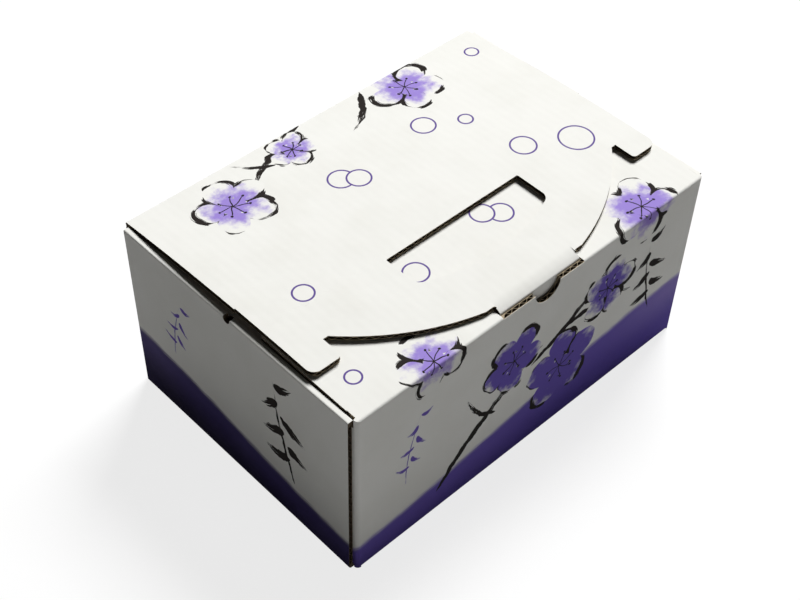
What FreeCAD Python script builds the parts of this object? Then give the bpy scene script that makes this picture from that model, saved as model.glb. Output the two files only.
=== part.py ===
import FreeCAD, Part
import math
import os
import Sketcher

# Handled fruit box: one sheet of B-flute board, die-cut, creased and folded into a carry box.
# The fixed part of the sheet (base, walls, roll-over rims, front top flap) is the tray.
# The lid is hinged on the crease along the top of the back wall. Its front edge is an arched
# handle strip with a hand hole behind it, and its tongue tucks into the slot in the front fold.
#
# Frame: millimetres, +Z up, the base's underside on Z = 0 and its middle at the origin. The long
# front wall faces -Y, the back wall +Y.

SIZES = (
    # The folded box, outside
    ("length", 308.0),
    ("depth", 214.0),
    ("height", 144.0),
    # The board, the air between two folded layers, and the outside radius of a right-angle fold.
    # The front wall's top fold is creased harder.
    ("board", 3.0),
    ("layer_gap", 0.3),
    ("fold_radius", 3.0),
    ("top_fold", 1.5),
    # Rims: the side walls folded over at the top and down again inside. The flap presses them
    # flat, and outside its edge each one still stands up as a narrow crest.
    ("rim_radius", 1.0),
    ("rim_drop", 3.4),
    ("crest_drop", 1.4),
    ("crest_width", 3.9),
    ("crest_radius", 0.5),
    ("side_setback", 4.0),
    ("rim_hole", 5.5),
    ("rim_hole_place", 2.6),
    # Tabs under the rolled-in side walls, in slots through the base
    ("lock_tab", 40.0),
    ("lock_spacing", 104.0),
    # Corner flaps, folded in from the front and back walls between the layers of the side walls
    ("corner_flap", 70.0),
    ("corner_drop", 7.0),
    # Front top flap, folded back from the front wall over the rims
    ("flap_length", 97.0),
    ("flap_rise", 1.5),
    ("flap_side", 4.8),
    ("flap_step", 0.4),
    ("flap_step_place", 10.5),
    ("flap_taper", 14.0),
    # Slot for the tongue in the front fold, and the thumb notch in the wall's raw edge there
    ("slot_width", 71.0),
    ("slot_depth", 11.0),
    ("lip_drop", 0.6),
    ("thumb_width", 22.0),
    ("thumb_depth", 10.8),
    ("thumb_place", 3.0),
    # Lid: crease clearance, and its shallow crown, highest crown_run ahead of the crease
    ("hinge_gap", 0.5),
    ("lid_side", 4.6),
    ("lid_step", 0.7),
    ("crown_rise", 5.5),
    ("crown_run", 128.7),
    # Tongue: the bend at its root, its own crease at the slot, and how far it hangs
    ("root_setback", 12.5),
    ("root_radius", 18.0),
    ("crease_radius", 1.5),
    ("crease_run", 0.6),
    ("crease_rise", 1.3),
    ("tongue_gap", 0.6),
    ("tongue_drop", 0.45),
    ("tongue_width", 69.4),
    ("tongue_depth", 34.0),
    ("tongue_lean", 2.4),
    ("tongue_skew", 0.2),
    ("tongue_corner", 9.0),
    # Lid's plan outline: corner tabs, the ledge beside each, the handle arch and its shoulders
    ("tab_setback", 38.7),
    ("tab_width", 21.9),
    ("tab_length", 16.4),
    ("tab_corner", 6.3),
    ("tab_nose", 3.0),
    ("arch_radius", 172.4),
    ("arch_reach", 3.4),
    ("shoulder_setback", 8.5),
    ("shoulder_corner", 1.5),
    # Hand hole
    ("hole_width", 114.4),
    ("hole_setback", 77.5),
    ("hole_corner", 7.0),
    ("hole_back_corner", 1.2),
    ("grip_width", 35.4),
)

# Places used by several outlines, as expressions of the sheet
FRONT = "(-size.depth / 2)"
BACK = "(size.depth / 2)"
FRONT_INNER = "(-size.depth / 2 + size.board)"
BACK_INNER = "(size.depth / 2 - size.board)"
SIDE = "(size.length / 2)"
SIDE_INNER = "(size.length / 2 - size.board)"
PANEL_SIDE = "(size.length / 2 - size.board - size.layer_gap)"
PANEL_FLAT = "(size.length / 2 - size.board - size.layer_gap - size.fold_radius)"
LINER_OUT = "(size.length / 2 - 2 * size.board - 2 * size.layer_gap)"
LINER_IN = "(size.length / 2 - 3 * size.board - 2 * size.layer_gap)"
SIDE_END = "(size.depth / 2 - size.side_setback)"
RIM_TOP = "(size.height - size.rim_drop)"
CREST_TOP = "(size.height - size.crest_drop)"
CREST_INNER = "(size.length / 2 - size.crest_width)"
CORNER_TOP = "(size.height - size.corner_drop)"
FLOOR_GAP = "(size.board + size.layer_gap)"
HINGE_Y = "(size.depth / 2 - size.board / 2)"
HINGE_Z = "(size.height - size.board / 2)"
LID_SIDE = "(size.length / 2 - size.lid_side)"
TONGUE_SIDE = "(size.tongue_width / 2)"
SLOT_SIDE = "(size.slot_width / 2)"
HOLE_SIDE = "(size.hole_width / 2)"
SHOULDER_Y = "(-size.depth / 2 + size.shoulder_setback)"
ROOT_Y = "(-size.depth / 2 + size.root_setback)"
TONGUE_Y = "(-size.depth / 2 + size.board + size.tongue_gap)"
TONGUE_Z = "(size.height - size.tongue_drop)"
ARCH_CENTRE = "(-size.depth / 2 + size.arch_reach + size.arch_radius)"
CROWN_RADIUS = "((size.crown_rise ^ 2 + size.crown_run ^ 2) / (2 * size.crown_rise))"

# A place outside the box, for the far side of a cut, and a length that passes right through it
BEYOND = "(size.length)"
THROUGH = "(2 * size.length)"

# How far an edge's end may lie from the place it is looked for, in millimetres
NEAR = 0.2


def add_sheet(document):
    """The spreadsheet of driving sizes, one row each."""
    sheet = document.addObject("Spreadsheet::Sheet", "size")
    for row, (alias, value) in enumerate(SIZES, start=1):
        sheet.set("A%d" % row, alias)
        sheet.set("B%d" % row, str(value))
        sheet.setAlias("B%d" % row, alias)
    document.recompute()
    return sheet


def number(expression):
    """The present value of an expression of the sheet."""
    return float(sheet.evalExpression(expression))


def negative(expression):
    """The same expression on the other side of zero."""
    return "-(%s)" % expression


def mirrored(corners):
    """The outline's reflection in x = 0, walked the same way round."""
    flipped = []
    for index in range(len(corners) - 1, -1, -1):
        x, y = corners[index][:2]
        bend = corners[index - 1][2:]
        flipped.append((negative(x), y) + tuple(bend))
    return flipped


def turned_to_back(corners):
    """The outline's reflection in y = 0, walked the same way round."""
    flipped = []
    for index in range(len(corners) - 1, -1, -1):
        x, y = corners[index][:2]
        bend = corners[index - 1][2:]
        flipped.append((x, negative(y)) + tuple(bend))
    return flipped


def arc_between(start, end, radius):
    """The minor arc from start to end, turning left where the radius is positive."""
    chord = end - start
    rise = math.sqrt(max(radius * radius - chord.Length ** 2 / 4, 0.0))
    left = FreeCAD.Vector(-chord.y, chord.x, 0).normalize()
    side = 1 if radius > 0 else -1
    centre = (start + end) / 2 + left * rise * side
    first, last = (start, end) if radius > 0 else (end, start)
    angles = [math.atan2(point.y - centre.y, point.x - centre.x) for point in (first, last)]
    if angles[1] < angles[0]:
        angles[1] += 2 * math.pi
    circle = Part.Circle(centre, FreeCAD.Vector(0, 0, 1), abs(radius))
    return Part.ArcOfCircle(circle, angles[0], angles[1])


def add_loop(sketch, corners):
    """A closed loop of (x, y) or (x, y, bend radius) corners, each tied to the sheet.

    The bend is the arc from that corner to the next, to the left of the walk, or to the right
    where the expression starts with a minus sign.
    """
    points = [FreeCAD.Vector(number(corner[0]), number(corner[1]), 0) for corner in corners]
    ends = []
    for index, corner in enumerate(corners):
        start, end = points[index], points[(index + 1) % len(points)]
        if len(corner) == 3:
            radius = number(corner[2])
            edge = sketch.addGeometry(arc_between(start, end, radius), False)
            ends.append((edge, 1, 2) if radius > 0 else (edge, 2, 1))
            bound = sketch.addConstraint(Sketcher.Constraint("Radius", edge, abs(radius)))
            sketch.setExpression("Constraints[%d]" % bound, "abs(%s)" % corner[2])
        else:
            edge = sketch.addGeometry(Part.LineSegment(start, end), False)
            ends.append((edge, 1, 2))
    for index in range(len(ends)):
        edge, _, end = ends[index]
        following, start, _ = ends[(index + 1) % len(ends)]
        sketch.addConstraint(Sketcher.Constraint("Coincident", edge, end, following, start))
    for (edge, start, _), corner, point in zip(ends, corners, points):
        for kind, axis, expression, value in (("DistanceX", -2, corner[0], point.x),
                                              ("DistanceY", -1, corner[1], point.y)):
            if expression == "0":
                sketch.addConstraint(Sketcher.Constraint("PointOnObject", edge, start, axis))
                continue
            bound = sketch.addConstraint(Sketcher.Constraint(kind, -1, 1, edge, start, value))
            sketch.setExpression("Constraints[%d]" % bound, expression)


def outline(body, name, plane, loops, offset=None):
    """A sketch of closed loops on one of the body's own origin planes."""
    sketch = body.newObject("Sketcher::SketchObject", name)
    support = [item for item in body.Origin.OriginFeatures if item.Role == plane][0]
    sketch.AttachmentSupport = (support, [""])
    sketch.MapMode = "FlatFace"
    if offset:
        sketch.setExpression("AttachmentOffset.Base.z", offset)
    for corners in loops:
        add_loop(sketch, corners)
    return sketch


def feature(body, kind, name, sketch, length, symmetric=False, reverse=False):
    """A Pad or Pocket of the sketch over the given length."""
    item = body.newObject("PartDesign::" + kind, name)
    item.Profile = sketch
    item.setExpression("Length", length)
    if symmetric:
        item.SideType = "Symmetric"
    item.Reversed = reverse
    sketch.Document.recompute()
    return item


def rectangle(left, right, low, high):
    """The four corners of a rectangle, counter-clockwise."""
    return [(left, low), (right, low), (right, high), (left, high)]


def edges_where(shape, test):
    """Names of the shape's edges that pass the test."""
    return ["Edge%d" % (index + 1) for index, edge in enumerate(shape.Edges) if test(edge)]


def upright_at(x, y):
    """A test for upright edges that pass through (x, y) in plan, on either side of x = 0."""
    def test(edge):
        ends = [vertex.Point for vertex in edge.Vertexes]
        if len(ends) < 2 or abs(ends[0].z - ends[1].z) < NEAR:
            return False
        return all(math.hypot(abs(end.x) - x, end.y - y) < NEAR for end in ends)
    return test


def round_edges(body, name, base, test, radius):
    """A Fillet of the base's edges that pass the test."""
    names = edges_where(base.Shape, test)
    if not names:
        raise RuntimeError(name + " found no edge to round")
    item = body.newObject("PartDesign::Fillet", name)
    item.Base = (base, names)
    item.setExpression("Radius", radius)
    body.Document.recompute()
    return item


# --------------------------------------------------------------------------------------------
# Tray


def add_front_flap(body):
    """The fold over the front wall's top and the flap behind it, with the tongue's slot."""
    free_edge = FRONT + " + size.flap_length"
    profile = [
        (FRONT, CORNER_TOP),
        (FRONT_INNER, CORNER_TOP),
        (FRONT_INNER, "size.height - size.board"),
        (free_edge, "size.height - size.board + size.flap_rise"),
        (free_edge, "size.height + size.flap_rise"),
        (FRONT + " + size.top_fold", "size.height", "size.top_fold"),
        (FRONT, "size.height - size.top_fold"),
    ]
    strip = outline(body, "front_flap_profile", "YZ_Plane", [profile])
    feature(body, "Pad", "front_flap", strip, "2 * " + PANEL_SIDE, True)

    # The fold is as wide as the front wall. The flap is narrower behind it, with a small step
    # where two knives of the die meet, and its free corners are cut back.
    widest = "(size.length / 2 - size.flap_side)"
    step_y = FRONT + " + size.flap_step_place"
    trim = [
        (BEYOND, FRONT_INNER),
        (BEYOND, free_edge + " + size.board"),
        (widest + " - size.flap_taper", free_edge + " + size.board"),
        (widest + " - size.flap_taper", free_edge),
        (widest, free_edge + " - size.flap_taper"),
        (widest, step_y),
        (widest + " - size.flap_step", step_y),
        (widest + " - size.flap_step", FRONT_INNER + " + 2 * size.layer_gap"),
        (PANEL_SIDE, FRONT_INNER),
    ]
    slot = rectangle(negative(SLOT_SIDE), SLOT_SIDE, FRONT + " - size.board",
                     FRONT + " + size.slot_depth")
    cuts = outline(body, "front_flap_cuts", "XY_Plane",
                   [trim, mirrored(trim), slot])
    feature(body, "Pocket", "front_flap_trim", cuts, THROUGH, True)


def add_front_wall(body):
    """The front wall, seen from the front: raw edge at the slot, with the thumb notch in it."""
    lip = "size.height - size.lip_drop"
    thumb_left = "(size.thumb_place - size.thumb_width / 2)"
    thumb_right = "(size.thumb_place + size.thumb_width / 2)"
    thumb_low = lip + " - size.thumb_depth"
    face = [
        (negative(PANEL_FLAT), "size.board"),
        (PANEL_FLAT, "size.board"),
        (PANEL_FLAT, CORNER_TOP),
        (SLOT_SIDE, CORNER_TOP),
        (SLOT_SIDE, lip),
        (thumb_right, lip),
        (thumb_right, thumb_low + " + size.thumb_width / 2", "-size.thumb_width / 2"),
        ("size.thumb_place", thumb_low, "-size.thumb_width / 2"),
        (thumb_left, thumb_low + " + size.thumb_width / 2"),
        (thumb_left, lip),
        (negative(SLOT_SIDE), lip),
        (negative(SLOT_SIDE), CORNER_TOP),
        (negative(PANEL_FLAT), CORNER_TOP),
    ]
    sketch = outline(body, "front_wall_face", "XZ_Plane", [face], "size.depth / 2 - size.board")
    feature(body, "Pad", "front_wall", sketch, "size.board")


def add_back_wall(body):
    """The back wall up to the lid's crease. Above the corner flaps its raw ends stand wider."""
    top = HINGE_Z + " - size.board / 2 - size.hinge_gap"
    face = [
        (PANEL_FLAT, "size.board"),
        (PANEL_FLAT, CORNER_TOP),
        (PANEL_SIDE, CORNER_TOP),
        (PANEL_SIDE, top),
        (negative(PANEL_SIDE), top),
        (negative(PANEL_SIDE), CORNER_TOP),
        (negative(PANEL_FLAT), CORNER_TOP),
        (negative(PANEL_FLAT), "size.board"),
    ]
    sketch = outline(body, "back_wall_face", "XZ_Plane", [face], "-size.depth / 2")
    feature(body, "Pad", "back_wall", sketch, "size.board")


def add_base(body):
    """The base between the front and back walls, rounded where it folds up into them."""
    section = [
        (FRONT + " + size.fold_radius", "0"),
        (BACK + " - size.fold_radius", "0", "size.fold_radius"),
        (BACK, "size.fold_radius"),
        (BACK, "size.board + size.layer_gap"),
        (BACK_INNER, "size.board + size.layer_gap"),
        (BACK_INNER, "size.board"),
        (FRONT_INNER, "size.board"),
        (FRONT_INNER, "size.board + size.layer_gap"),
        (FRONT, "size.board + size.layer_gap"),
        (FRONT, "size.fold_radius", "size.fold_radius"),
    ]
    sketch = outline(body, "base_section", "YZ_Plane", [section])
    feature(body, "Pad", "base", sketch, "2 * " + PANEL_FLAT, True)


def add_corner_flaps(body):
    """The upright folds at the four corners, each with its flap folded in along the side."""
    flap_in = "(size.length / 2 - 2 * size.board - size.layer_gap)"
    end = "(-size.depth / 2 + size.corner_flap)"
    root = PANEL_FLAT + " - size.board"
    front_right = [
        (PANEL_FLAT, FRONT, "size.fold_radius"),
        (PANEL_SIDE, FRONT + " + size.fold_radius"),
        (PANEL_SIDE, end),
        (flap_in, end),
        (flap_in, FRONT_INNER),
        (root, FRONT_INNER),
        (root, FRONT),
    ]
    back_right = turned_to_back(front_right)
    loops = [front_right, mirrored(front_right), back_right, mirrored(back_right)]
    sketch = outline(body, "corner_flap_plan", "XY_Plane", loops, FLOOR_GAP)
    feature(body, "Pad", "corner_flaps", sketch, CORNER_TOP + " - " + FLOOR_GAP)


def add_side_walls(body):
    """The side walls, folded over at the top into rims and down again inside."""
    fold = "size.fold_radius"
    crease = "size.rim_radius"
    brow = "size.crest_radius"
    under = "(" + RIM_TOP + " - size.board)"
    section = [
        (SIDE + " - " + fold, "0", fold),
        (SIDE, fold),
        (SIDE, CREST_TOP + " - " + crease, crease),
        (SIDE + " - " + crease, CREST_TOP),
        (CREST_INNER + " + " + brow, CREST_TOP, brow),
        (CREST_INNER, CREST_TOP + " - " + brow),
        (CREST_INNER, RIM_TOP),
        (LINER_IN + " + " + crease, RIM_TOP, crease),
        (LINER_IN, RIM_TOP + " - " + crease),
        (LINER_IN, FLOOR_GAP),
        (LINER_OUT, FLOOR_GAP),
        (LINER_OUT, under),
        (SIDE_INNER, under),
        (SIDE_INNER, "size.board"),
    ]
    sketch = outline(body, "side_wall_section", "XZ_Plane", [section + mirrored(section)])
    feature(body, "Pad", "side_walls", sketch, "2 * " + SIDE_END, True)


def add_rim_holes(body):
    """A small hole punched through each rim's outer fold, half-way along."""
    middle = SIDE + " - size.rim_hole / 2 + size.layer_gap"
    radius = "size.rim_hole / 2"
    hole = [
        (middle + " + " + radius, "size.rim_hole_place", radius),
        (middle, "size.rim_hole_place + " + radius, radius),
        (middle + " - " + radius, "size.rim_hole_place", radius),
        (middle, "size.rim_hole_place - " + radius, radius),
    ]
    sketch = outline(body, "rim_hole_plan", "XY_Plane", [hole, mirrored(hole)],
                     RIM_TOP + " - size.rim_hole")
    feature(body, "Pocket", "rim_holes", sketch, "2 * size.rim_hole", False, True)


def add_lock_tabs(body):
    """Slots through the base, and the tabs under the inner layers that drop into them."""
    places = []
    for side in (1, -1):
        middle = "(%d * size.lock_spacing / 2)" % side
        places.append((middle + " - size.lock_tab / 2", middle + " + size.lock_tab / 2"))
    slots = []
    tabs = []
    for low, high in places:
        slot = rectangle(LINER_IN + " - size.layer_gap", LINER_OUT + " + size.layer_gap",
                         low + " - size.layer_gap", high + " + size.layer_gap")
        tab = rectangle(LINER_IN, LINER_OUT, low, high)
        slots += [slot, mirrored(slot)]
        tabs += [tab, mirrored(tab)]
    slot_plan = outline(body, "lock_slot_plan", "XY_Plane", slots)
    feature(body, "Pocket", "lock_slots", slot_plan, "2 * size.board", True)
    tab_plan = outline(body, "lock_tab_plan", "XY_Plane", tabs, "size.layer_gap")
    return feature(body, "Pad", "lock_tabs", tab_plan, "2 * size.board")


def build_tray(document):
    """Everything of the sheet that stays put once the box is folded."""
    body = document.addObject("PartDesign::Body", "tray")
    body.Label = "tray"
    add_front_flap(body)
    add_front_wall(body)
    add_base(body)
    add_back_wall(body)
    add_corner_flaps(body)
    add_side_walls(body)
    add_rim_holes(body)
    body.Tip = add_lock_tabs(body)
    return body


# --------------------------------------------------------------------------------------------
# Lid


def crown_height(y, below="0"):
    """The height at y of the crown's upper face, or of the face that lies below it by so much.

    Each face is an arc from the crease's bead, with its crest crown_run in front of it.
    """
    radius = "(" + CROWN_RADIUS + " - " + below + ")"
    rise = "sqrt(" + radius + " ^ 2 - (" + y + " - " + HINGE_Y + " + size.crown_run) ^ 2)"
    start = "sqrt(" + radius + " ^ 2 - size.crown_run ^ 2)"
    return "(size.height - " + below + " + " + rise + " - " + start + ")"


def add_lid_sheet(body):
    """The lid's sheet: the bead of its crease and the shallow crown as far as the shoulders."""
    half = "size.board / 2"
    end_y = "(" + SHOULDER_Y + " - size.shoulder_corner)"
    section = [
        (HINGE_Y, HINGE_Z + " - " + half, half),
        (HINGE_Y + " + " + half, HINGE_Z, half),
        (HINGE_Y, HINGE_Z + " + " + half, CROWN_RADIUS),
        (end_y, crown_height(end_y)),
        (end_y, crown_height(end_y, "size.board"), "-(" + CROWN_RADIUS + " - size.board)"),
    ]
    sketch = outline(body, "lid_section", "YZ_Plane", [section])
    feature(body, "Pad", "lid_sheet", sketch, "2 * " + LID_SIDE, True)


def add_tongue(body):
    """The tongue: bent down at its root, creased behind the slot's lip, and hanging inside.

    It leans inwards, so that its tip clears the front wall as it swings out.
    """
    tip_y = TONGUE_Y + " + size.tongue_lean"
    tip_z = "(size.height - size.tongue_depth)"
    section = [
        (ROOT_Y, crown_height(ROOT_Y), "size.root_radius"),
        (TONGUE_Y + " + size.crease_run", TONGUE_Z + " + size.crease_rise",
         "size.crease_radius"),
        (TONGUE_Y, TONGUE_Z),
        (tip_y, tip_z),
        (tip_y + " + size.board", tip_z + " + size.tongue_skew"),
        (TONGUE_Y + " + size.board", TONGUE_Z + " - size.crease_run",
         "-(size.root_radius - size.board)"),
        (ROOT_Y, crown_height(ROOT_Y, "size.board")),
    ]
    sketch = outline(body, "tongue_section", "YZ_Plane", [section])
    pad = feature(body, "Pad", "tongue", sketch, "size.tongue_width", True)

    lowest = pad.Shape.BoundBox.ZMin

    def at_tip(edge):
        ends = [vertex.Point for vertex in edge.Vertexes]
        across = abs(ends[0].x - ends[-1].x) > NEAR
        return not across and all(end.z - lowest < number("size.board") for end in ends)

    return round_edges(body, "tongue_corners", pad, at_tip, "size.tongue_corner")


def add_lid_outline(body):
    """What the die takes off the lid: a step along each side, and all in front of the arch."""
    ahead = FRONT + " - size.board"
    tab_y = FRONT + " + size.tab_setback"
    ledge_y = tab_y + " + size.tab_length"
    narrow = LID_SIDE + " - size.lid_step"
    tab_inner = "(" + narrow + " - size.tab_width)"
    ledge_x = "sqrt(size.arch_radius ^ 2 - (" + ARCH_CENTRE + " - (" + ledge_y + ")) ^ 2)"
    arch_x = "sqrt(size.arch_radius ^ 2 - (" + ARCH_CENTRE + " - " + SHOULDER_Y + ") ^ 2)"
    front = [
        (BEYOND, ahead),
        (BEYOND, "0"),
        (narrow, "0"),
        (narrow, tab_y + " + size.tab_corner", "-size.tab_corner"),
        (narrow + " - size.tab_corner", tab_y),
        (tab_inner + " + size.tab_nose", tab_y, "-size.tab_nose"),
        (tab_inner, tab_y + " + size.tab_nose"),
        (tab_inner, ledge_y),
        (ledge_x, ledge_y, "-size.arch_radius"),
        (arch_x, SHOULDER_Y),
        (TONGUE_SIDE + " + size.shoulder_corner", SHOULDER_Y, "size.shoulder_corner"),
        (TONGUE_SIDE, SHOULDER_Y + " - size.shoulder_corner"),
        (TONGUE_SIDE, ROOT_Y),
    ]
    sketch = outline(body, "lid_outline", "XY_Plane", [front + mirrored(front)])
    feature(body, "Pocket", "lid_cut", sketch, THROUGH, True)


def add_hand_hole(body):
    """The D-shaped hand hole: straight at the back, its front edge running with the arch."""
    back_y = FRONT + " + size.hole_setback"
    inner_radius = "(size.arch_radius - size.grip_width)"
    end_y = "(" + ARCH_CENTRE + " - sqrt(" + inner_radius + " ^ 2 - " + HOLE_SIDE + " ^ 2))"
    apex_y = "(" + ARCH_CENTRE + " - " + inner_radius + ")"
    hole = [
        (negative(HOLE_SIDE), end_y, inner_radius),
        ("0", apex_y, inner_radius),
        (HOLE_SIDE, end_y),
        (HOLE_SIDE, back_y),
        (negative(HOLE_SIDE), back_y),
    ]
    sketch = outline(body, "hand_hole_plan", "XY_Plane", [hole])
    pocket = feature(body, "Pocket", "hand_hole", sketch, THROUGH, True)
    near = round_edges(body, "hole_near_corners", pocket,
                       upright_at(number(HOLE_SIDE), number(end_y)), "size.hole_corner")
    return round_edges(body, "hole_far_corners", near,
                       upright_at(number(HOLE_SIDE), number(back_y)), "size.hole_back_corner")


def build_lid(document):
    """The lid, from the bead of its crease to the tip of its tongue."""
    body = document.addObject("PartDesign::Body", "lid")
    body.Label = "lid"
    add_lid_sheet(body)
    add_lid_outline(body)
    add_hand_hole(body)
    body.Tip = add_tongue(body)
    return body


# --------------------------------------------------------------------------------------------
# Build, test and write

document = FreeCAD.newDocument("handled_fruit_box")
sheet = add_sheet(document)
pieces = [build_tray(document), build_lid(document)]
document.recompute()

for item in document.Objects:
    if {"Invalid", "Error"} & set(item.State):
        raise RuntimeError("%s failed: %s" % (item.Name, item.State))
for piece in pieces:
    if piece.Shape.isNull() or not piece.Shape.isValid() or len(piece.Shape.Solids) != 1:
        raise RuntimeError("%s is not one valid solid" % piece.Label)
    print(piece.Label, round(piece.Shape.Volume), piece.Shape.BoundBox)

os.makedirs("parts", exist_ok=True)
for piece in pieces:
    piece.Shape.exportStep("parts/%s.step" % piece.Label)
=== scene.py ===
import math

import bpy
import numpy as np
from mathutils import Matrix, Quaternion, Vector


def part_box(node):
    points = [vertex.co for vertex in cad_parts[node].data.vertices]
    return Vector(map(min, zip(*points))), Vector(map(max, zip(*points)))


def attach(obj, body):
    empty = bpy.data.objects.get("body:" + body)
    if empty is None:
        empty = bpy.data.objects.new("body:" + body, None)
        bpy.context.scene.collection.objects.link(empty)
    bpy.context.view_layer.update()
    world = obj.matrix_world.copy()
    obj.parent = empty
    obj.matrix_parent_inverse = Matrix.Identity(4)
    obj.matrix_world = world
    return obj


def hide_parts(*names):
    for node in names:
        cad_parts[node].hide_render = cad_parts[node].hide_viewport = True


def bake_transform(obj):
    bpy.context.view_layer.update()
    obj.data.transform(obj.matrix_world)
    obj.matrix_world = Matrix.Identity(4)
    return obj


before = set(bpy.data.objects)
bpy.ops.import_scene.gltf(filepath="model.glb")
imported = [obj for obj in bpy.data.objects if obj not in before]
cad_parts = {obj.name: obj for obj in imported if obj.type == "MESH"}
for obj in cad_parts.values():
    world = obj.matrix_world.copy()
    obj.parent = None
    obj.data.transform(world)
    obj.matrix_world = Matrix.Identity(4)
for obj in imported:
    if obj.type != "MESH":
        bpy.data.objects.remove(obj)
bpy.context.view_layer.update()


# ------------------------------------------------------------------------------------------------
# Studio: a pale table under one soft lamp, high on the right and a little behind. The near walls
# are in shade, with light from the table and from a weak lamp in front of them: a low, wide strip
# that stays below the top of the box, so that it lights neither the lid nor the flap.

MM = 0.001


class Number:
    """A number that varies over a surface. Its operators add Math nodes to the finish."""

    def __init__(self, finish, socket):
        self.finish = finish
        self.socket = socket

    def maths(self, operation, *others):
        inputs = dict(enumerate((self,) + others))
        node = self.finish.node("Math", {"operation": operation}, inputs)
        return Number(self.finish, node.outputs[0])

    def reflected(self, operation, first):
        node = self.finish.node("Math", {"operation": operation}, {0: first, 1: self})
        return Number(self.finish, node.outputs[0])

    def __add__(self, other):
        return self.maths("ADD", other)

    def __radd__(self, other):
        return self.maths("ADD", other)

    def __sub__(self, other):
        return self.maths("SUBTRACT", other)

    def __rsub__(self, other):
        return self.reflected("SUBTRACT", other)

    def __mul__(self, other):
        return self.maths("MULTIPLY", other)

    def __rmul__(self, other):
        return self.maths("MULTIPLY", other)

    def __truediv__(self, other):
        return self.maths("DIVIDE", other)

    def __rtruediv__(self, other):
        return self.reflected("DIVIDE", other)

    def __pow__(self, other):
        return self.maths("POWER", other)

    def __neg__(self):
        return self.maths("MULTIPLY", -1.0)

    def __abs__(self):
        return self.maths("ABSOLUTE")

    def ramp(self, start, end, low=0.0, high=1.0):
        """Smoothly from low, where the number is at start, to high at end."""
        inputs = {0: self, 1: start, 2: end, 3: low, 4: high}
        node = self.finish.node("MapRange", {"interpolation_type": "SMOOTHSTEP"}, inputs)
        return Number(self.finish, node.outputs[0])


class Finish:
    """A material being made, with one method that adds any node to it."""

    def __init__(self, name):
        self.material = bpy.data.materials.new(name)
        self.material.use_nodes = True
        self.tree = self.material.node_tree
        self.shader = self.tree.nodes["Principled BSDF"]

    def node(self, kind, settings={}, inputs={}):
        made = self.tree.nodes.new("ShaderNode" + kind)
        for name, value in settings.items():
            setattr(made, name, value)
        for name, value in inputs.items():
            self.fill(made.inputs[name], value)
        return made

    def fill(self, socket, value):
        """Links a socket to a node's output, or sets it."""
        source = value.socket if isinstance(value, Number) else value
        if isinstance(source, bpy.types.NodeSocket):
            self.tree.links.new(source, socket)
        else:
            socket.default_value = source

    def mix(self, factor, first, second):
        """The first colour where factor is 0 and the second where it is 1."""
        settings = {"data_type": "RGBA"}
        return self.node("Mix", settings, {0: factor, 6: first, 7: second}).outputs[2]

    def places(self):
        """Where a point is on the object, in millimetres: a vector, then x, y and z."""
        object_place = self.node("TexCoord").outputs["Object"]
        scaled = self.node("VectorMath", {"operation": "SCALE"}, {0: object_place, "Scale": 1 / MM})
        parts = self.node("SeparateXYZ", {}, {0: scaled.outputs[0]})
        return [scaled.outputs[0]] + [Number(self, part) for part in parts.outputs]

    def noise(self, vector, scale, detail=2.0, roughness=0.5):
        """Smooth noise about 0.5, with so many features to each unit of the vector."""
        inputs = {"Vector": vector, "Scale": scale, "Detail": detail, "Roughness": roughness}
        return Number(self, self.node("TexNoise", {}, inputs).outputs[0])


def mesh_object(name, places, faces):
    """An object of these corners and the faces between them, put into the scene."""
    mesh = bpy.data.meshes.new(name)
    mesh.from_pydata(places, [], faces)
    made = bpy.data.objects.new(name, mesh)
    bpy.context.scene.collection.objects.link(made)
    return made


def studio_floor():
    """One large square on z = 0: a pale grey table that looks white, with a faint shadow on it."""
    reach = 6.0
    glow_share = 0.80
    corners = [(-reach, -reach, 0), (reach, -reach, 0), (reach, reach, 0), (-reach, reach, 0)]
    floor = mesh_object("floor", corners, [(0, 1, 2, 3)])
    finish = Finish("floor_paper")
    finish.shader.inputs["Base Color"].default_value = (0.47, 0.47, 0.47, 1.0)
    finish.shader.inputs["Roughness"].default_value = 1.0
    finish.shader.inputs["Specular IOR Level"].default_value = 0.0
    glow = finish.node("Emission", {}, {"Color": (1.0, 1.0, 1.0, 1.0), "Strength": 1.0})
    bright = finish.node("BsdfDiffuse", {}, {"Color": (1.0, 1.0, 1.0, 1.0)})
    white = finish.node("MixShader", {}, {0: glow_share, 1: bright.outputs[0],
                                          2: glow.outputs[0]})
    path = finish.node("LightPath").outputs
    seen = Number(finish, path["Is Camera Ray"])
    for other_ray in ("Is Glossy Ray", "Is Transmission Ray"):
        seen = seen.maths("MAXIMUM", path[other_ray])
    surface = finish.node("MixShader", {}, {0: seen, 1: finish.shader.outputs[0],
                                            2: white.outputs[0]})
    finish.fill(finish.tree.nodes["Material Output"].inputs["Surface"], surface.outputs[0])
    floor.data.materials.append(finish.material)


def lamp(name, place, aim, size, power):
    """A soft box of this width and height at place, turned to face aim."""
    light = bpy.data.lights.new(name, "AREA")
    light.shape = "RECTANGLE"
    light.size, light.size_y = size
    light.energy = power
    lamp_object = bpy.data.objects.new(name, light)
    lamp_object.location = place
    lamp_object.rotation_mode = "QUATERNION"
    facing = Vector(aim) - Vector(place)
    lamp_object.rotation_quaternion = facing.to_track_quat("-Z", "Y")
    bpy.context.scene.collection.objects.link(lamp_object)


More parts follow.
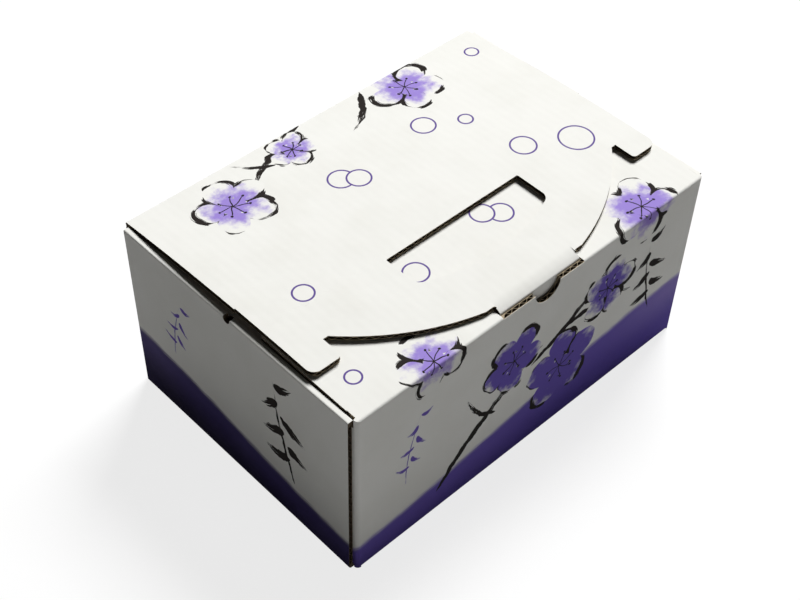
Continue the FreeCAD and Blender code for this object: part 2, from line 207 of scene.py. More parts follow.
def studio_world(fill):
    """An even, weak light from all round: its strength is fill, and 1 where it is seen itself."""
    world = bpy.data.worlds.new("studio")
    world.use_nodes = True
    tree = world.node_tree
    background = tree.nodes["Background"]
    path = tree.nodes.new("ShaderNodeLightPath")
    seen = tree.nodes.new("ShaderNodeMath")
    seen.operation = "MAXIMUM"
    tree.links.new(path.outputs["Is Camera Ray"], seen.inputs[0])
    tree.links.new(path.outputs["Is Transmission Ray"], seen.inputs[1])
    strength = tree.nodes.new("ShaderNodeMapRange")
    tree.links.new(seen.outputs[0], strength.inputs[0])
    strength.inputs[3].default_value = fill
    strength.inputs[4].default_value = 1.0
    tree.links.new(strength.outputs[0], background.inputs["Strength"])
    background.inputs["Color"].default_value = (1.0, 1.0, 1.0, 1.0)
    bpy.context.scene.world = world


def studio_camera():
    """A longish lens above the near left corner, turned a little about its own axis."""
    azimuth, elevation, roll = (math.radians(angle) for angle in (-44.58, 46.37, 1.657))
    distance = 0.9495
    aim = Vector((-0.0151, 0.0002, 0.0621))
    flat = math.cos(elevation)
    back = Vector((math.sin(azimuth) * flat, -math.cos(azimuth) * flat, math.sin(elevation)))
    data = bpy.data.cameras.new("camera")
    data.sensor_width = 36.0
    data.lens = 64.04
    data.clip_start = 0.05
    data.clip_end = 50.0
    camera = bpy.data.objects.new("camera", data)
    camera.location = aim + back * distance
    camera.rotation_mode = "QUATERNION"
    level = (-back).to_track_quat("-Z", "Y")
    camera.rotation_quaternion = level @ Quaternion((0.0, 0.0, 1.0), roll)
    bpy.context.scene.collection.objects.link(camera)
    bpy.context.scene.camera = camera


studio_floor()
studio_camera()
studio_world(fill=0.022)
lamp("key", place=(3.40, 1.48, 5.04), aim=(0.0, 0.0, 0.1), size=(2.1, 2.1), power=517.0)
lamp("low_fill", place=(-0.6, -1.35, 0.073), aim=(0.0, 0.0, 0.073), size=(1.4, 0.14), power=1.5)
bpy.context.scene.view_settings.view_transform = "Standard"


# ------------------------------------------------------------------------------------------------
# Board: one sheet of B-flute. Two flat kraft papers with a wavy one glued between them, so that
# every cut across the flutes shows a row of cells, walled in dark paper as painted shade. The tray
# and the lid are cut from it.

BOARD = 3.0 * MM
KRAFT_PAPER = 0.30 * MM
FLUTE_PITCH = 6.4 * MM
PRINT_PAPER = 0.12 * MM
NEAR = 0.1 * MM


def triangles(mesh):
    """A mesh's triangles: an array of (triangle, corner, axis) in metres."""
    places = np.empty(len(mesh.vertices) * 3)
    mesh.vertices.foreach_get("co", places)
    mesh.calc_loop_triangles()
    corners = np.empty(len(mesh.loop_triangles) * 3, int)
    mesh.loop_triangles.foreach_get("vertices", corners)
    return places.reshape(-1, 3)[corners].reshape(-1, 3, 3)


def piece_of(name, faces):
    """An object of these triangles, with the corners that meet made one vertex.

    Corners count as one where they agree to a thousandth of a millimetre.
    """
    grid = np.round(faces.reshape(-1, 3) / (0.001 * MM)).astype(np.int64)
    _, first, shared = np.unique(grid, axis=0, return_index=True, return_inverse=True)
    vertices = faces.reshape(-1, 3)[first]
    corners = shared.reshape(-1, 3)
    whole = (corners != np.roll(corners, 1, axis=1)).all(axis=1)
    return mesh_object(name, vertices.tolist(), corners[whole].tolist())


def flute_cells(name, path, outward, across, centres):
    """The air in the board, as closed tubes: one on each side of the wavy paper.

    A cell's section is half a cosine wave over a flat side, one paper's thickness inside the
    board's face. It is carried along path, with outward as the face's normal at each point of
    it, and repeated along the unit vector across, at every centre.
    """
    path, outward, across = (np.asarray(item, float) for item in (path, outward, across))
    swing = BOARD / 2 - 1.5 * KRAFT_PAPER
    turn = np.linspace(-0.9 * math.pi, 0.9 * math.pi, 9)
    wave = BOARD / 2 + swing * np.cos(turn) - KRAFT_PAPER / 2
    sideways = np.concatenate((turn, turn[[-1, 0]])) * FLUTE_PITCH / (2 * math.pi)
    depth = np.concatenate((wave, [KRAFT_PAPER, KRAFT_PAPER]))
    centres = np.asarray(centres, float)
    both_centres = np.concatenate((centres, centres + FLUTE_PITCH / 2))
    both_depths = np.concatenate((np.tile(depth, (len(centres), 1)),
                                  np.tile(BOARD - depth, (len(centres), 1))))
    inward = -outward[None, :, None] * both_depths[:, None, :, None]
    along = (both_centres[:, None] + sideways)[:, None, :, None] * across
    places = path[None, :, None] + inward + along
    cells, stations, points = places.shape[:3]
    index = np.arange(cells * stations * points).reshape(cells, stations, points)
    ahead = np.roll(index, -1, axis=2)
    walls = np.stack((index[:, :-1], index[:, 1:], ahead[:, 1:], ahead[:, :-1]), axis=-1)
    near_ends = index[:, 0]
    far_ends = index[:, -1, ::-1]
    turned = np.dot(np.cross(path[1] - path[0], across), outward[0]) < 0
    halves = (slice(0, len(centres)), slice(len(centres), cells))
    faces = []
    for half, flipped in zip(halves, (not turned, turned)):
        for group in (walls[half].reshape(-1, 4), near_ends[half], far_ends[half]):
            faces += (group[:, ::-1] if flipped else group).tolist()
    return mesh_object(name, places.reshape(-1, 3).tolist(), faces)


def spaced(low, high):
    """Centres one flute pitch apart, from low to high, counted from zero."""
    first = math.ceil(low / FLUTE_PITCH)
    last = math.floor(high / FLUTE_PITCH)
    return FLUTE_PITCH * np.arange(first, last + 1)


def settle(piece):
    """Makes the piece's modifiers part of its mesh."""
    bpy.context.view_layer.update()
    settled = bpy.data.meshes.new_from_object(
        piece.evaluated_get(bpy.context.evaluated_depsgraph_get()))
    piece.modifiers.clear()
    piece.data = settled


def carve(piece, tools, operation="DIFFERENCE"):
    """Cuts the tools out of the piece, or joins them to it, and uses the tools up.

    What they leave on the piece has its second material: the dark paper of painted shade.
    """
    for tool in tools:
        tool.data.polygons.foreach_set("material_index", [1] * len(tool.data.polygons))
        cut = piece.modifiers.new(tool.name, "BOOLEAN")
        cut.operation = operation
        cut.solver = "EXACT"
        cut.material_mode = "INDEX"
        cut.object = tool
    settle(piece)
    for tool in tools:
        bpy.data.objects.remove(tool)


def prism(name, section, sweep):
    """A closed solid: a flat section of (point, axis), carried along the vector sweep."""
    section = np.asarray(section, float)
    places = np.concatenate((section, section + np.asarray(sweep)))
    index = np.arange(len(section))
    ahead = np.roll(index, -1)
    walls = np.stack((index, ahead, ahead + len(index), index + len(index)), axis=1)
    facing = np.cross(section, np.roll(section, -1, axis=0)).sum(axis=0) @ np.asarray(sweep)
    faces = walls.tolist() + [index[::-1].tolist(), (index + len(index)).tolist()]
    made = mesh_object(name, places.tolist(), faces)
    if facing < 0:
        made.data.flip_normals()
    return made


def round_folds(piece):
    """Shades folds smoothly and keeps cut edges sharp."""
    piece.data.polygons.foreach_set("use_smooth", [True] * len(piece.data.polygons))
    piece.data.set_sharp_from_angle(angle=math.radians(40))
    weighted = piece.modifiers.new("normals", "WEIGHTED_NORMAL")
    weighted.keep_sharp = True
    weighted.weight = 100


def kraft_finish(name, colour, speckle):
    """Unbleached brown paper: long and short fibres, light and dark, and a dull face."""
    finish = Finish(name)
    place, _, _, _ = finish.places()
    cloudy = finish.noise(place, 0.08, 3.0)
    fibres = finish.noise(place, 2.2, 6.0, 0.7)
    dark = tuple(0.80 * part for part in colour)
    light = tuple(min(1.0, 1.12 * part) for part in colour)
    tone = (fibres * speckle + cloudy * (1 - speckle)).ramp(0.3, 0.7)
    shade = finish.mix(tone, dark + (1.0,), light + (1.0,))
    finish.fill(finish.shader.inputs["Base Color"], shade)
    finish.fill(finish.shader.inputs["Roughness"], fibres.ramp(0.2, 0.8, 0.78, 0.94))
    bump = finish.node("Bump", {}, {"Strength": 0.25, "Distance": 0.05 * MM, "Height": fibres})
    finish.fill(finish.shader.inputs["Normal"], bump.outputs[0])
    finish.shader.inputs["Specular IOR Level"].default_value = 0.25
    return finish.material


kraft = kraft_finish("kraft_paper", (0.42, 0.34, 0.23), 0.6)
# The dark paper: kraft darkened far below its own brown, painted shade of open flutes and raw ends.
painted_shade_paper = kraft_finish("flutes_in_painted_shade", (0.10, 0.073, 0.045), 0.8)

# How far a row of cells runs on past the edge at which it opens
past_edge = 1.0 * MM


def board_of(node):
    """A copy of the node's solid in brown paper, and the dark paper of painted shade for what is
    cut.
    """
    board = piece_of(node + "_board", triangles(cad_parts[node].data))
    for paper in (kraft, painted_shade_paper):
        board.data.materials.append(paper)
    return board


# ------------------------------------------------------------------------------------------------
# Tray: the board folded into base, walls and rims. Its upright folds run down to the base, its
# top folds have round ends, and each rim has a small hole punched through its outer fold, which
# shows as a half-round notch.

_, tray_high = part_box("tray")
half_length = tray_high.x
half_depth = tray_high.y
flap_top = tray_high.z
flap_lift = 1.5 * MM
fold_top = flap_top - flap_lift
slot_side = 36.5 * MM
lip_depth = 22.0 * MM
flap_run = 94.0 * MM
wall_end = half_depth - 4.0 * MM

layer_gap = 0.3 * MM
panel_side = half_length - BOARD - layer_gap
corner_top = 137.0 * MM
crest_top = 142.6 * MM
fold_radius = 3.0 * MM
foot_low = 0.8 * MM
foot_high = 3.3 * MM

# How far a cutting tool reaches past the face that it cuts
clear = 2.0 * MM

# The punched hole. A fill closes the solid's slit in the outer face, and a half-round mouth is
# then cut through the fold.
hole_y = 2.6 * MM
hole_radius = 2.75 * MM
hole_inner = 148.6 * MM
hole_low = 134.0 * MM
mouth_inner = 151.0 * MM
mouth_depth = 5.0 * MM
mouth_radius = 1.1 * hole_radius
mouth_level = crest_top - 0.6 * MM
fill_inner = 152.0 * MM
fill_half = 3.2 * MM
fill_low = 134.6 * MM
fill_high = crest_top - 1.0 * MM


def in_rim_hole(x, y, z):
    """Whether a place is in the hole through a rim's outer fold, or on its wall."""
    return (abs(y - hole_y) < 1.15 * hole_radius) & (abs(x) > hole_inner) & (z > hole_low)


tray_board = board_of("tray")

quarter = np.linspace(0.0, math.pi / 2, 9)
round_x = panel_side - fold_radius + fold_radius * np.sin(quarter)
round_y = half_depth - fold_radius + fold_radius * np.cos(quarter)
half_turn = np.linspace(math.pi, 2 * math.pi, 17)
fold_ends = []
fold_feet = []
hole_fills = []
hole_mouths = []
for side in (-1, 1):
    for end in (-1, 1):
        corner = np.stack((side * round_x, end * round_y), axis=1)
        outside = ((side * (panel_side + clear), end * (half_depth - fold_radius)),
                   (side * (panel_side + clear), end * (half_depth + clear)),
                   (side * (panel_side - fold_radius), end * (half_depth + clear)))
        inside = ((side * (panel_side - fold_radius), end * (half_depth - fold_radius)),)
        for made, name, rest, low, high in (
                (fold_ends, "fold_end", outside, corner_top, flap_top + clear),
                (fold_feet, "fold_foot", inside, foot_low, foot_high)):
            plan = np.concatenate((corner, rest))
            section = np.column_stack((plan, np.full(len(plan), low)))
            made.append(prism(name, section, (0.0, 0.0, high - low)))
    fill_y = hole_y + fill_half * np.array((-1, 1, 1, -1))
    fill_z = np.array((fill_low, fill_low, fill_high, fill_high))
    fill = np.column_stack((np.full(4, side * fill_inner), fill_y, fill_z))
    hole_fills.append(prism("hole_fill", fill, (side * (half_length - fill_inner), 0.0, 0.0)))
    mouth_y = hole_y + mouth_radius * np.append(np.cos(half_turn), (1.0, -1.0))
    mouth_z = np.append(mouth_level + mouth_radius * np.sin(half_turn), [crest_top + clear] * 2)
    mouth = np.column_stack((np.full(len(mouth_y), side * mouth_inner), mouth_y, mouth_z))
    hole_mouths.append(prism("hole_mouth", mouth, (side * mouth_depth, 0.0, 0.0)))
carve(tray_board, fold_feet + hole_fills, "UNION")
carve(tray_board, fold_ends + hole_mouths)
tray_faces = triangles(tray_board.data)

# The flap's cells start behind its fold and run out through its free edge.
flap_slope = Vector((0.0, flap_run, flap_lift)).normalized()
flap_normal = (0.0, -flap_slope.z, flap_slope.y)
flap_start = Vector((0.0, -half_depth + 8.0 * MM, fold_top + 0.08 * MM))
flap_end = flap_start + flap_slope * 92.0 * MM
across = (1.0, 0.0, 0.0)
tray_cells = [
    flute_cells("lip_cells",
                [(0.0, -half_depth, fold_top - lip_depth),
                 (0.0, -half_depth, fold_top + past_edge)],
                [(0.0, -1.0, 0.0)] * 2, across, spaced(-slot_side, slot_side)),
    flute_cells("flap_cells", [flap_start, flap_end],
                [flap_normal] * 2, across, spaced(-half_length, half_length)),
]
for side in (-1, 1):
    for end in (-1, 1):
        tray_cells.append(flute_cells(
            "wall_end_cells",
            [(side * half_length, end * (wall_end - 12.0 * MM), 0.0),
             (side * half_length, end * (wall_end + past_edge), 0.0)],
            [(side, 0.0, 0.0)] * 2, (0.0, 0.0, 1.0), spaced(5.0 * MM, corner_top)))

# The raw ends of the side walls and the hole's wall get the dark paper too: painted shade.
tray_board.data.polygons.foreach_set("material_index", [
    int(abs(abs(face.center.y) - wall_end) < NEAR or in_rim_hole(*face.center))
    for face in tray_board.data.polygons])
carve(tray_board, tray_cells)
round_folds(tray_board)
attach(tray_board, "tray")
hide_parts("tray")


# ------------------------------------------------------------------------------------------------
# Tray's print: white coated paper glued to the board before it is cut, printed in violet. There
# is one piece for each outer side, with what is folded over at its top, and plain ones for the
# base and for the side walls' inner faces.

FLAT = 0.9
TURNED = 0.02


def normals_of(faces):
    """Each triangle's unit normal."""
    normal = np.cross(faces[:, 1] - faces[:, 0], faces[:, 2] - faces[:, 0])
    return normal / np.linalg.norm(normal, axis=1, keepdims=True).clip(1e-12)


def thicken(sheet):
    """Gives the sheet the thickness of coated paper, on its outer side."""
    paper = sheet.modifiers.new("paper", "SOLIDIFY")
    paper.thickness = PRINT_PAPER
    paper.offset = 1.0
    settle(sheet)


def printed_sheet(name, faces, material, body):
    """The printed paper over these faces of the board, standing on them by its own thickness."""
    sheet = piece_of(name, faces)
    sheet.data.materials.append(material)
    thicken(sheet)
    round_folds(sheet)
    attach(sheet, body)


def coated_finish(name, across, along, flutes, layers):
    """White coated paper under layers of ink.

    across and along take x, y and z to the sheet's own two directions, in millimetres. Each
    layer takes the finish, the sheet's place and the colour so far, and gives the new colour.
    The coating is faintly uneven, and the flutes show through it as soft ridges.
    """
    finish = Finish(name)
    place, x, y, z = finish.places()
    cloud = finish.noise(place, 0.03, 3.0)
    grain = finish.noise(place, 2.5, 4.0)
    clean = (0.850, 0.846, 0.806, 1.0)
    toned = (0.822, 0.817, 0.772, 1.0)
    colour = finish.mix(cloud.ramp(0.35, 0.75), clean, toned)
    sheet = finish.node("CombineXYZ", {}, {0: across(x, y, z), 1: along(x, y, z)}).outputs[0]
    for layer in layers:
        colour = layer(finish, sheet, colour)
    finish.fill(finish.shader.inputs["Base Color"], colour)
    finish.fill(finish.shader.inputs["Roughness"], cloud.ramp(0.2, 0.8, 0.44, 0.54))
    ridges = (flutes(x, y, z) * (2 * math.pi * MM / FLUTE_PITCH)).maths("COSINE")
    # Heights in millimetres: the flutes' ridges, the coating's grain and a slow waviness.
    height = ridges * 0.010 + grain * 0.012 + cloud * 0.6
    bump = finish.node("Bump", {}, {"Strength": 1.0, "Distance": MM, "Height": height})
    finish.fill(finish.shader.inputs["Normal"], bump.outputs[0])
    finish.shader.inputs["Specular IOR Level"].default_value = 0.002
    return finish.material


WHITE = (0.845, 0.840, 0.800, 1.0)
INK = (0.030, 0.026, 0.024, 1.0)
DEEP_VIOLET = (0.165, 0.117, 0.47, 1.0)
# Painted shade: the violet at the walls' foot, and the side walls' darker violet and its foot.
FOOT_SHADED_VIOLET = (0.115, 0.080, 0.38, 1.0)
SIDE_SHADED_VIOLET = (0.062, 0.047, 0.165, 1.0)
SIDE_FOOT_SHADED_VIOLET = (0.014, 0.010, 0.034, 1.0)
PALE_VIOLET = (0.34, 0.25, 0.66, 1.0)
# Painted sheen: the paler violet towards one end of a band.
SHEEN_VIOLET = (0.50, 0.42, 0.72, 1.0)
RING_INK = (0.13, 0.085, 0.30, 1.0)


def hand_made(finish, sheet, sway):
    """The sheet's places, led astray by as much as a brush in the hand."""
    settings = {"operation": "SUBTRACT"}
    drift = finish.node("TexNoise", {}, {"Vector": sheet, "Scale": 0.045, "Detail": 2.0}).outputs[1]
    drift = finish.node("VectorMath", settings, {0: drift, 1: (0.5, 0.5, 0.5)}).outputs[0]
    drift = finish.node("VectorMath", {"operation": "SCALE"}, {0: drift, "Scale": sway}).outputs[0]
    return finish.node("VectorMath", {"operation": "ADD"}, {0: sheet, 1: drift}).outputs[0]


def motif_place(finish, sheet, centre, turn):
    """A place on the sheet as a motif sees it: x along its own axis and y across it."""
    inputs = {"Vector": sheet, "Location": centre + (0.0,), "Rotation": (0.0, 0.0, turn)}
    own = finish.node("Mapping", {"vector_type": "TEXTURE"}, inputs).outputs[0]
    parts = finish.node("SeparateXYZ", {}, {0: own}).outputs
    return Number(finish, parts[0]), Number(finish, parts[1])


def band(level, swing, start, length, ink, foot_shade_ink, sheen_from, sheen_to, sheen_share):
    """The violet wash round the foot of a wall, with a soft wavy top edge. It darkens downwards:
    painted shade at the foot, where the wall meets the table.

    The edge is at level + swing * sin(pi * (across - start) / length). There the ink thins out
    in fine streaks, by 1 - (1 - s)^2.2 where s rises smoothly from 0 to 1. Across the wall,
    between the two places after the inks, the ink pales towards a lighter violet, at most by the
    last argument: a painted sheen.
    """
    def layer(finish, sheet, colour):
        x, y = motif_place(finish, sheet, (start, 0.0), 0.0)
        edge = level + swing * (x * (math.pi / length)).maths("SINE")
        wander = (finish.noise(sheet, 0.05, 2.0) - 0.5) * 3.0
        # The streaks lie along the wall: they change slowly with x and quickly with y.
        streaks = finish.node("CombineXYZ", {}, {0: x * 0.05, 1: y * 1.1}).outputs[0]
        streak = (finish.noise(streaks, 1.0, 3.0) - 0.5) * 5.0
        below = edge + wander - y
        uneven = finish.noise(sheet, 0.025, 3.0).ramp(0.3, 0.7, 0.0, 0.16)
        # The ink pales towards one end: a painted sheen.
        ink_with_sheen = finish.mix((x + start).ramp(sheen_from, sheen_to, 0.0, sheen_share), ink, SHEEN_VIOLET)
        # Downwards the wash darkens to the foot's ink: painted shade where the wall meets the
        # table.
        wash = finish.mix(below.ramp(0.0, 44.0) - uneven, ink_with_sheen, foot_shade_ink)
        bare = (below + streak).ramp(-4.0, 4.5, 1.0, 0.0)
        return finish.mix(1 - bare ** 2.2, colour, wash)
    return layer


def ring(centre, radius):
    """A thin ring of ink round bare paper, which hides what is printed under it."""
    def layer(finish, sheet, colour):
        x, y = motif_place(finish, sheet, centre, 0.0)
        away = (x * x + y * y).maths("SQRT")
        inside = finish.mix((away - radius).ramp(-0.2, 0.2, 1.0, 0.0), colour, WHITE)
        return finish.mix(abs(away - radius).ramp(0.42, 0.82, 1.0, 0.0), inside, RING_INK)
    return layer


def blossom(centre, reach, turn, wash, spread):
    """A flower of five round petals, drawn with a loaded brush over a wash from its heart.

    Each petal is a circle on its own axis, 0.61 of the reach out and 0.39 of it in radius. The
    angle about the flower's centre is folded, so that one circle stands for all five. The wash
    runs out to spread times the reach. The outline swells, breaks and dries as the brush turns.
    """
    def layer(finish, sheet, colour):
        x, y = motif_place(finish, hand_made(finish, sheet, 9.0), centre, turn)
        away = (x * x + y * y).maths("SQRT")
        angle = y.maths("ARCTAN2", x)
        petal = angle.maths("PINGPONG", math.pi / 5)
        along = away * petal.maths("COSINE") - 0.61 * reach
        across = away * petal.maths("SINE")
        outside = (along * along + across * across).maths("SQRT") - 0.39 * reach
        # The wash, which stops short of the petals' outline and of the heart
        blot = finish.noise(sheet, 2.6 / reach, 4.0, 0.6)
        wet = (away / reach + (blot - 0.5) * 1.3).ramp(spread - 0.5, spread, 1.0, 0.0)
        washed = finish.mix(wet, WHITE, wash)
        heart = away - 0.3 * reach
        inside = outside.maths("MINIMUM", heart).ramp(-0.5, 0.1, 1.0, 0.0)
        filled = finish.mix(inside, colour, washed)
        # The outline, as wide as the brush is pressed
        press = finish.noise(sheet, 1.5 / reach, 1.0).ramp(0.36, 0.64, -0.7, 0.07 * reach + 0.4)
        inputs = {0: angle * 1.4, 1: outside * 0.8}
        hairs = finish.noise(finish.node("CombineXYZ", {}, inputs).outputs[0], 1.2, 4.0, 0.6)
        line = (abs(outside) - press + hairs.ramp(0.4, 0.62, -0.2, 0.9)).ramp(-0.25, 0.2, 1.0, 0.0)
        line = line * heart.ramp(-0.6, 0.6)
        # Seven stalks round the heart, each with a dot at its tip
        thread = angle.maths("PINGPONG", math.pi / 7)
        stalk = (thread * away).ramp(0.25, 0.5, 1.0, 0.0)
        stalk = stalk * (away - 0.34 * reach).ramp(-0.3, 0.3, 1.0, 0.0)
        ahead = away * thread.maths("COSINE") - 0.38 * reach
        aside = away * thread.maths("SINE")
        tip = (ahead * ahead + aside * aside).maths("SQRT")
        tip = tip.ramp(0.02 * reach + 0.2, 0.02 * reach + 0.6, 1.0, 0.0)
        return finish.mix(line.maths("MAXIMUM", stalk).maths("MAXIMUM", tip), filled, INK)
    return layer


def stroke(start, end, bow, width, ink=INK):
    """One stroke of a brush: it swells, thins towards its end, and breaks up there as it dries.

    Half its width is width * sqrt(t) * (1 - t) * 1.6, at t of the way, and its middle bows
    out sideways as a parabola.
    """
    length = math.dist(start, end)
    turn = math.atan2(end[1] - start[1], end[0] - start[0])

    def layer(finish, sheet, colour):
        x, y = motif_place(finish, hand_made(finish, sheet, 5.0), start, turn)
        way = (x / length).maths("MAXIMUM", 0.0).maths("MINIMUM", 1.0)
        jitter = (finish.noise(sheet, 0.18, 3.0) - 0.5) * (0.8 * width)
        half = width * 1.6 * way.maths("SQRT") * (1 - way) + jitter
        off = y - 4 * bow * way * (1 - way)
        # The marks of the hairs run along the stroke, and part where the ink runs out.
        inputs = {0: x * 0.10, 1: off * 1.5}
        hairs = finish.noise(finish.node("CombineXYZ", {}, inputs).outputs[0], 1.0, 3.0)
        dry = way.ramp(0.35, 1.0, 0.0, 0.9) - hairs.ramp(0.35, 0.6)
        mark = (abs(off) - half).ramp(-0.35, 0.2, 1.0, 0.0) * dry.ramp(0.0, 0.35, 1.0, 0.0)
        mark = mark * x.ramp(-0.3, 0.3) * (length - x).ramp(-0.3, 0.3)
        return finish.mix(mark, colour, ink)
    return layer


def sprig(root, tip, leaf, width, ink=INK):
    """A bare stem with six long leaves, one stroke each, left and right of it by turns."""
    root, tip = np.array(root), np.array(tip)
    along = (tip - root) / np.linalg.norm(tip - root)
    aside = np.array((-along[1], along[0]))
    strokes = [stroke(tuple(root), tuple(tip), 3.0, 0.3 * width, ink)]
    for leaf_number, (size, lift) in enumerate(((1.05, 0.1), (0.8, -0.5), (1.0, -0.2),
                                                (0.9, -0.6), (0.75, -0.45), (0.8, 0.3))):
        side = (1, -1)[leaf_number % 2]
        start = root + (tip - root) * (0.25 + 0.14 * leaf_number)
        end = start + leaf * size * (0.85 * side * aside + lift * along)
        strokes.append(stroke(tuple(start), tuple(end), 1.6 * side, width, ink))
    return strokes


faces = tray_faces
middle = faces.mean(axis=1)
normal = normals_of(faces)
rim_top = 140.6 * MM
rim_dip = 1.0 * MM
crest_inner = half_length - 3.9 * MM
rim_inner = half_length - 3 * BOARD - 2 * layer_gap
corner_flap = ((abs(abs(middle[:, 0]) - panel_side) < NEAR) & (middle[:, 2] < rim_top - BOARD)
               & (middle[:, 0] * normal[:, 0] > FLAT * abs(middle[:, 0])))
front_faces = (((normal[:, 1] < -TURNED) & (middle[:, 1] < -half_depth + BOARD + NEAR)
                & (abs(middle[:, 0]) < panel_side))
               | ((normal[:, 2] > FLAT) & (middle[:, 2] > fold_top - NEAR))
               | (corner_flap & (middle[:, 1] < 0)))
back_faces = (((normal[:, 1] > TURNED) & (middle[:, 1] > half_depth - BOARD - NEAR)
               & (abs(middle[:, 0]) < panel_side))
              | (corner_flap & (middle[:, 1] > 0)))
base_faces = (normal[:, 2] < -FLAT) & (middle[:, 2] < NEAR)
liner_faces = ((middle[:, 0] * normal[:, 0] < -FLAT * abs(middle[:, 0]))
               & (abs(abs(middle[:, 0]) - rim_inner) < NEAR))


def side_faces(side):
    """The side wall's printed faces: its foot, its outer face, and the crest and rim."""
    out = side * middle[:, 0]
    facing = side * normal[:, 0]
    outer = (facing > TURNED) & (out > half_length - NEAR)
    foot = ((facing > TURNED) & (normal[:, 2] < -TURNED) & (middle[:, 2] < BOARD)
            & (out > panel_side + NEAR))
    over = ((normal[:, 2] > TURNED) & (middle[:, 2] > rim_top - rim_dip - NEAR)
            & (middle[:, 2] < crest_top + NEAR) & (out > rim_inner - NEAR))
    brow = (facing < -FLAT) & (abs(out - crest_inner) < NEAR) & (middle[:, 2] > rim_top)
    in_hole = in_rim_hole(*middle.T) & (out < half_length - NEAR)
    return (outer | foot | over | brow) & ~in_hole


front_layers = [
    band(39.0, 17.3, -15.0, 330.0, DEEP_VIOLET, FOOT_SHADED_VIOLET, 60.0, 165.0, 0.40),
    stroke((-84.0, 20.0), (10.0, 92.0), 8.0, 5.0),
    stroke((-4.0, 78.0), (72.0, 132.0), -6.0, 4.2),
    stroke((20.0, 92.0), (96.0, 80.0), 6.0, 3.6),
    stroke((-34.0, 58.0), (-62.0, 92.0), 5.0, 3.4),
    blossom((26.0, 56.0), 33.0, 0.35, DEEP_VIOLET, 1.25),
    blossom((-22.0, 96.0), 26.0, 0.9, DEEP_VIOLET, 1.2),
    blossom((66.0, 100.0), 25.0, 0.1, DEEP_VIOLET, 0.95),
    blossom((-88.0, 148.0), 25.0, 0.5, PALE_VIOLET, 0.85),
    blossom((98.0, 150.0), 29.0, 1.0, PALE_VIOLET, 0.9),
    *sprig((116.0, 46.0), (104.0, 118.0), 22.0, 5.0),
    *sprig((-112.0, 54.0), (-100.0, 112.0), 14.0, 2.8, DEEP_VIOLET),
    ring((28.0, 208.5), 8.1),
    ring((18.5, 216.0), 8.0),
    ring((-130.3, 170.2), 5.1),
    ring((-48.0, 206.0), 8.3),
]
# The side walls' band is a darker copy of the violet, darkest at the foot: painted shade.
side_layers = [
    band(40.3, -14.0, 0.0, 240.0, SIDE_SHADED_VIOLET, SIDE_FOOT_SHADED_VIOLET, -20.0, -120.0, 0.12),
    *sprig((54.0, 38.0), (38.0, 122.0), 26.0, 6.0),
    *sprig((-62.0, 62.0), (-50.0, 116.0), 14.0, 2.8, DEEP_VIOLET),
]
back_layers = [
    band(40.0, 15.0, 0.0, 320.0, DEEP_VIOLET, FOOT_SHADED_VIOLET, 60.0, 165.0, 0.30),
    stroke((96.0, 22.0), (4.0, 80.0), -9.0, 5.0),
    stroke((16.0, 76.0), (-44.0, 116.0), 6.0, 4.0),
    blossom((-34.0, 96.0), 27.0, 0.4, PALE_VIOLET, 0.9),
    blossom((30.0, 62.0), 31.0, 0.9, DEEP_VIOLET, 1.2),
    *sprig((-104.0, 52.0), (-116.0, 116.0), 22.0, 5.0),
]

# Each print runs up its wall and on over the fold at the top. The walls' outer faces stand this
# many millimetres from the middle of the box.
front_face = 107.0
side_face = 154.0
front_finish = coated_finish("front_print", lambda x, y, z: x, lambda x, y, z: y + z + front_face,
                             lambda x, y, z: x, front_layers)
back_finish = coated_finish("back_print", lambda x, y, z: -x, lambda x, y, z: z,
                            lambda x, y, z: x, back_layers)
left_finish = coated_finish("left_print", lambda x, y, z: -y, lambda x, y, z: x + z + side_face,
                            lambda x, y, z: z, side_layers)
right_finish = coated_finish("right_print", lambda x, y, z: y, lambda x, y, z: z - x + side_face,
                             lambda x, y, z: z, side_layers)
plain_finish = coated_finish("plain_white", lambda x, y, z: x, lambda x, y, z: y,
                             lambda x, y, z: x, [])

for name, chosen, material in (("front_print", front_faces, front_finish),
                               ("back_print", back_faces, back_finish),
                               ("left_print", side_faces(-1), left_finish),
                               ("right_print", side_faces(1), right_finish),
                               ("base_print", base_faces, plain_finish),
                               ("liner_paper", liner_faces, plain_finish)):
    printed_sheet(name, faces[chosen], material, "tray")


# ------------------------------------------------------------------------------------------------
# Lid: the same board and paper, crowned a little by its own spring. The die cuts its front edge
# to an arch with a hand hole behind it, and its tongue is bent down to tuck into the tray's slot.

lid_low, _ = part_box("lid")
crown_rise = 5.5 * MM
crown_run = 128.7 * MM
crown_radius = (crown_rise ** 2 + crown_run ** 2) / (2 * crown_rise)
hinge_y = half_depth - BOARD / 2
hinge_z = 142.5 * MM
tongue_side = 34.7 * MM
root_side = tongue_side + 2.0 * MM
tongue_front = lid_low.y + 0.1 * MM
tongue_lean = 2.5 * MM
tongue_zone = -half_depth + 6.5 * MM
edge_front = -half_depth + 3.0 * MM
root_front = -half_depth + 15.0 * MM
cells_back = half_depth - 7.0 * MM


def crown_at(y):
    """The crown's upper face at y, and its normal: an arc through the crease and its crest."""
    over = y - (hinge_y - crown_run)
    rise = np.sqrt(crown_radius ** 2 - over ** 2)
    height = fold_top + crown_rise - crown_radius + rise
    zero = np.zeros_like(y)
    path = np.stack((zero, y, height), axis=1)
    return path, np.stack((zero, over / crown_radius, rise / crown_radius), axis=1)


lid_board = board_of("lid")

# The raw side edges get the dark paper: painted shade of the open flutes along them.
lid_board.data.polygons.foreach_set("material_index", [
    int(abs(face.normal.x) > 0.7) for face in lid_board.data.polygons])

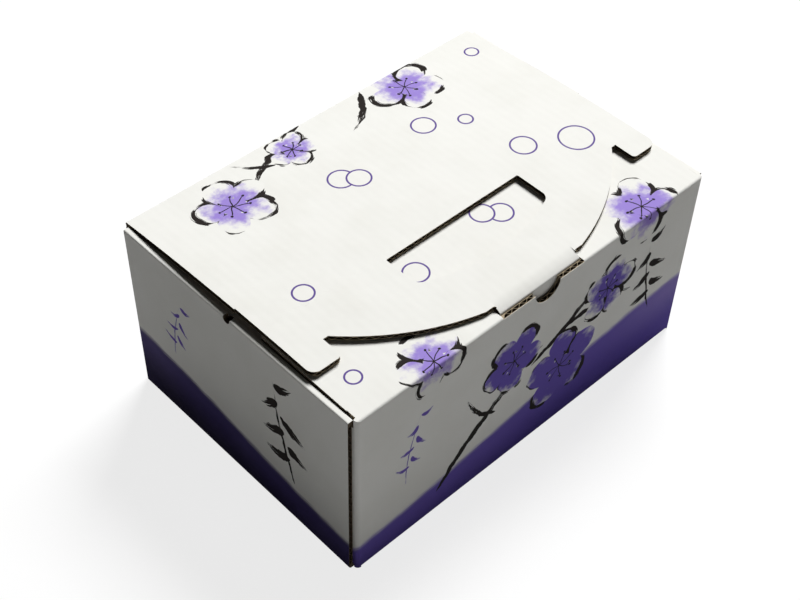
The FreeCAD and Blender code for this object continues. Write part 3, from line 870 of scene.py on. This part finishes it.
# The cells beside the tongue run out through the front edge. Those behind it end at its root,
# and the tongue has its own.
centres = spaced(-half_length, half_length)
beside = abs(centres) > root_side
long_path, long_normals = crown_at(np.linspace(edge_front, cells_back, 13))
short_path, short_normals = crown_at(np.linspace(root_front, cells_back, 12))
tongue_top = np.array((0.0, tongue_front, fold_top - 2.0 * MM))
tongue_tip = np.array((0.0, tongue_front + tongue_lean, lid_low.z - past_edge))
tongue_out = np.cross(across, (tongue_tip - tongue_top))
tongue_out = -tongue_out / np.linalg.norm(tongue_out)
lid_cells = [
    flute_cells("lid_side_cells", long_path, long_normals, across, centres[beside]),
    flute_cells("lid_middle_cells", short_path, short_normals, across, centres[~beside]),
    flute_cells("tongue_cells", [tongue_top, tongue_tip], [tongue_out] * 2, across,
                spaced(-tongue_side, tongue_side)),
]
carve(lid_board, lid_cells)
round_folds(lid_board)
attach(lid_board, "lid")
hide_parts("lid")

lid_layers = [
    stroke((-10.0, 106.0), (-86.0, 66.0), -5.0, 4.4),
    stroke((-48.0, 84.0), (-70.0, 104.0), 2.0, 3.0),
    stroke((44.0, 106.0), (10.0, 74.0), 4.0, 4.4),
    blossom((-92.0, 72.0), 27.0, 0.3, PALE_VIOLET, 0.85),
    blossom((-30.0, 90.0), 18.0, 0.9, PALE_VIOLET, 0.85),
    blossom((70.0, 88.0), 27.0, 0.6, PALE_VIOLET, 0.9),
    ring((132.0, 85.0), 4.9),
    ring((48.5, 47.5), 8.3),
    ring((73.5, 33.0), 5.0),
    ring((81.5, -12.0), 8.8),
    ring((113.0, -30.0), 11.9),
    ring((-27.5, 44.0), 8.7),
    ring((-18.5, 37.0), 8.0),
    ring((-111.5, -17.0), 6.7),
]
lid_finish = coated_finish("lid_print", lambda x, y, z: x, lambda x, y, z: y,
                           lambda x, y, z: x, lid_layers)

faces = triangles(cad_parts["lid"].data)
middle = faces.mean(axis=1)
normal = normals_of(faces)
bead = (middle[:, 1] > hinge_y + NEAR) & (normal[:, 1] > TURNED)
tongue_face = ((normal[:, 1] < -FLAT) & (middle[:, 1] < tongue_zone)
               & (abs(middle[:, 0]) < tongue_side - NEAR))
printed_sheet("lid_print", faces[(normal[:, 2] > TURNED) | bead | tongue_face], lid_finish, "lid")


# ------------------------------------------------------------------------------------------------
# Crease paper: the coated paper, left whole from the back wall to the lid, which hangs on it. It
# is laid flat over the crease, as while the box is shut.

paper_side = half_length - 4.7 * MM
paper_low = 139.8 * MM

# A flat grid on the back wall's face: x across it, and z up it to the middle of the lid's bead.
x, z = np.meshgrid(np.linspace(-paper_side, paper_side, 3), np.linspace(paper_low, hinge_z, 19))
places = np.stack((x, np.full_like(x, half_depth), z), axis=2).reshape(-1, 3)
index = np.arange(x.size).reshape(x.shape)
squares = np.stack((index[:-1, :-1], index[1:, :-1], index[1:, 1:], index[:-1, 1:]), axis=2)
crease_paper = mesh_object("crease_paper", places.tolist(), squares.reshape(-1, 4).tolist())
crease_paper.data.materials.append(plain_finish)
thicken(crease_paper)
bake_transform(crease_paper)
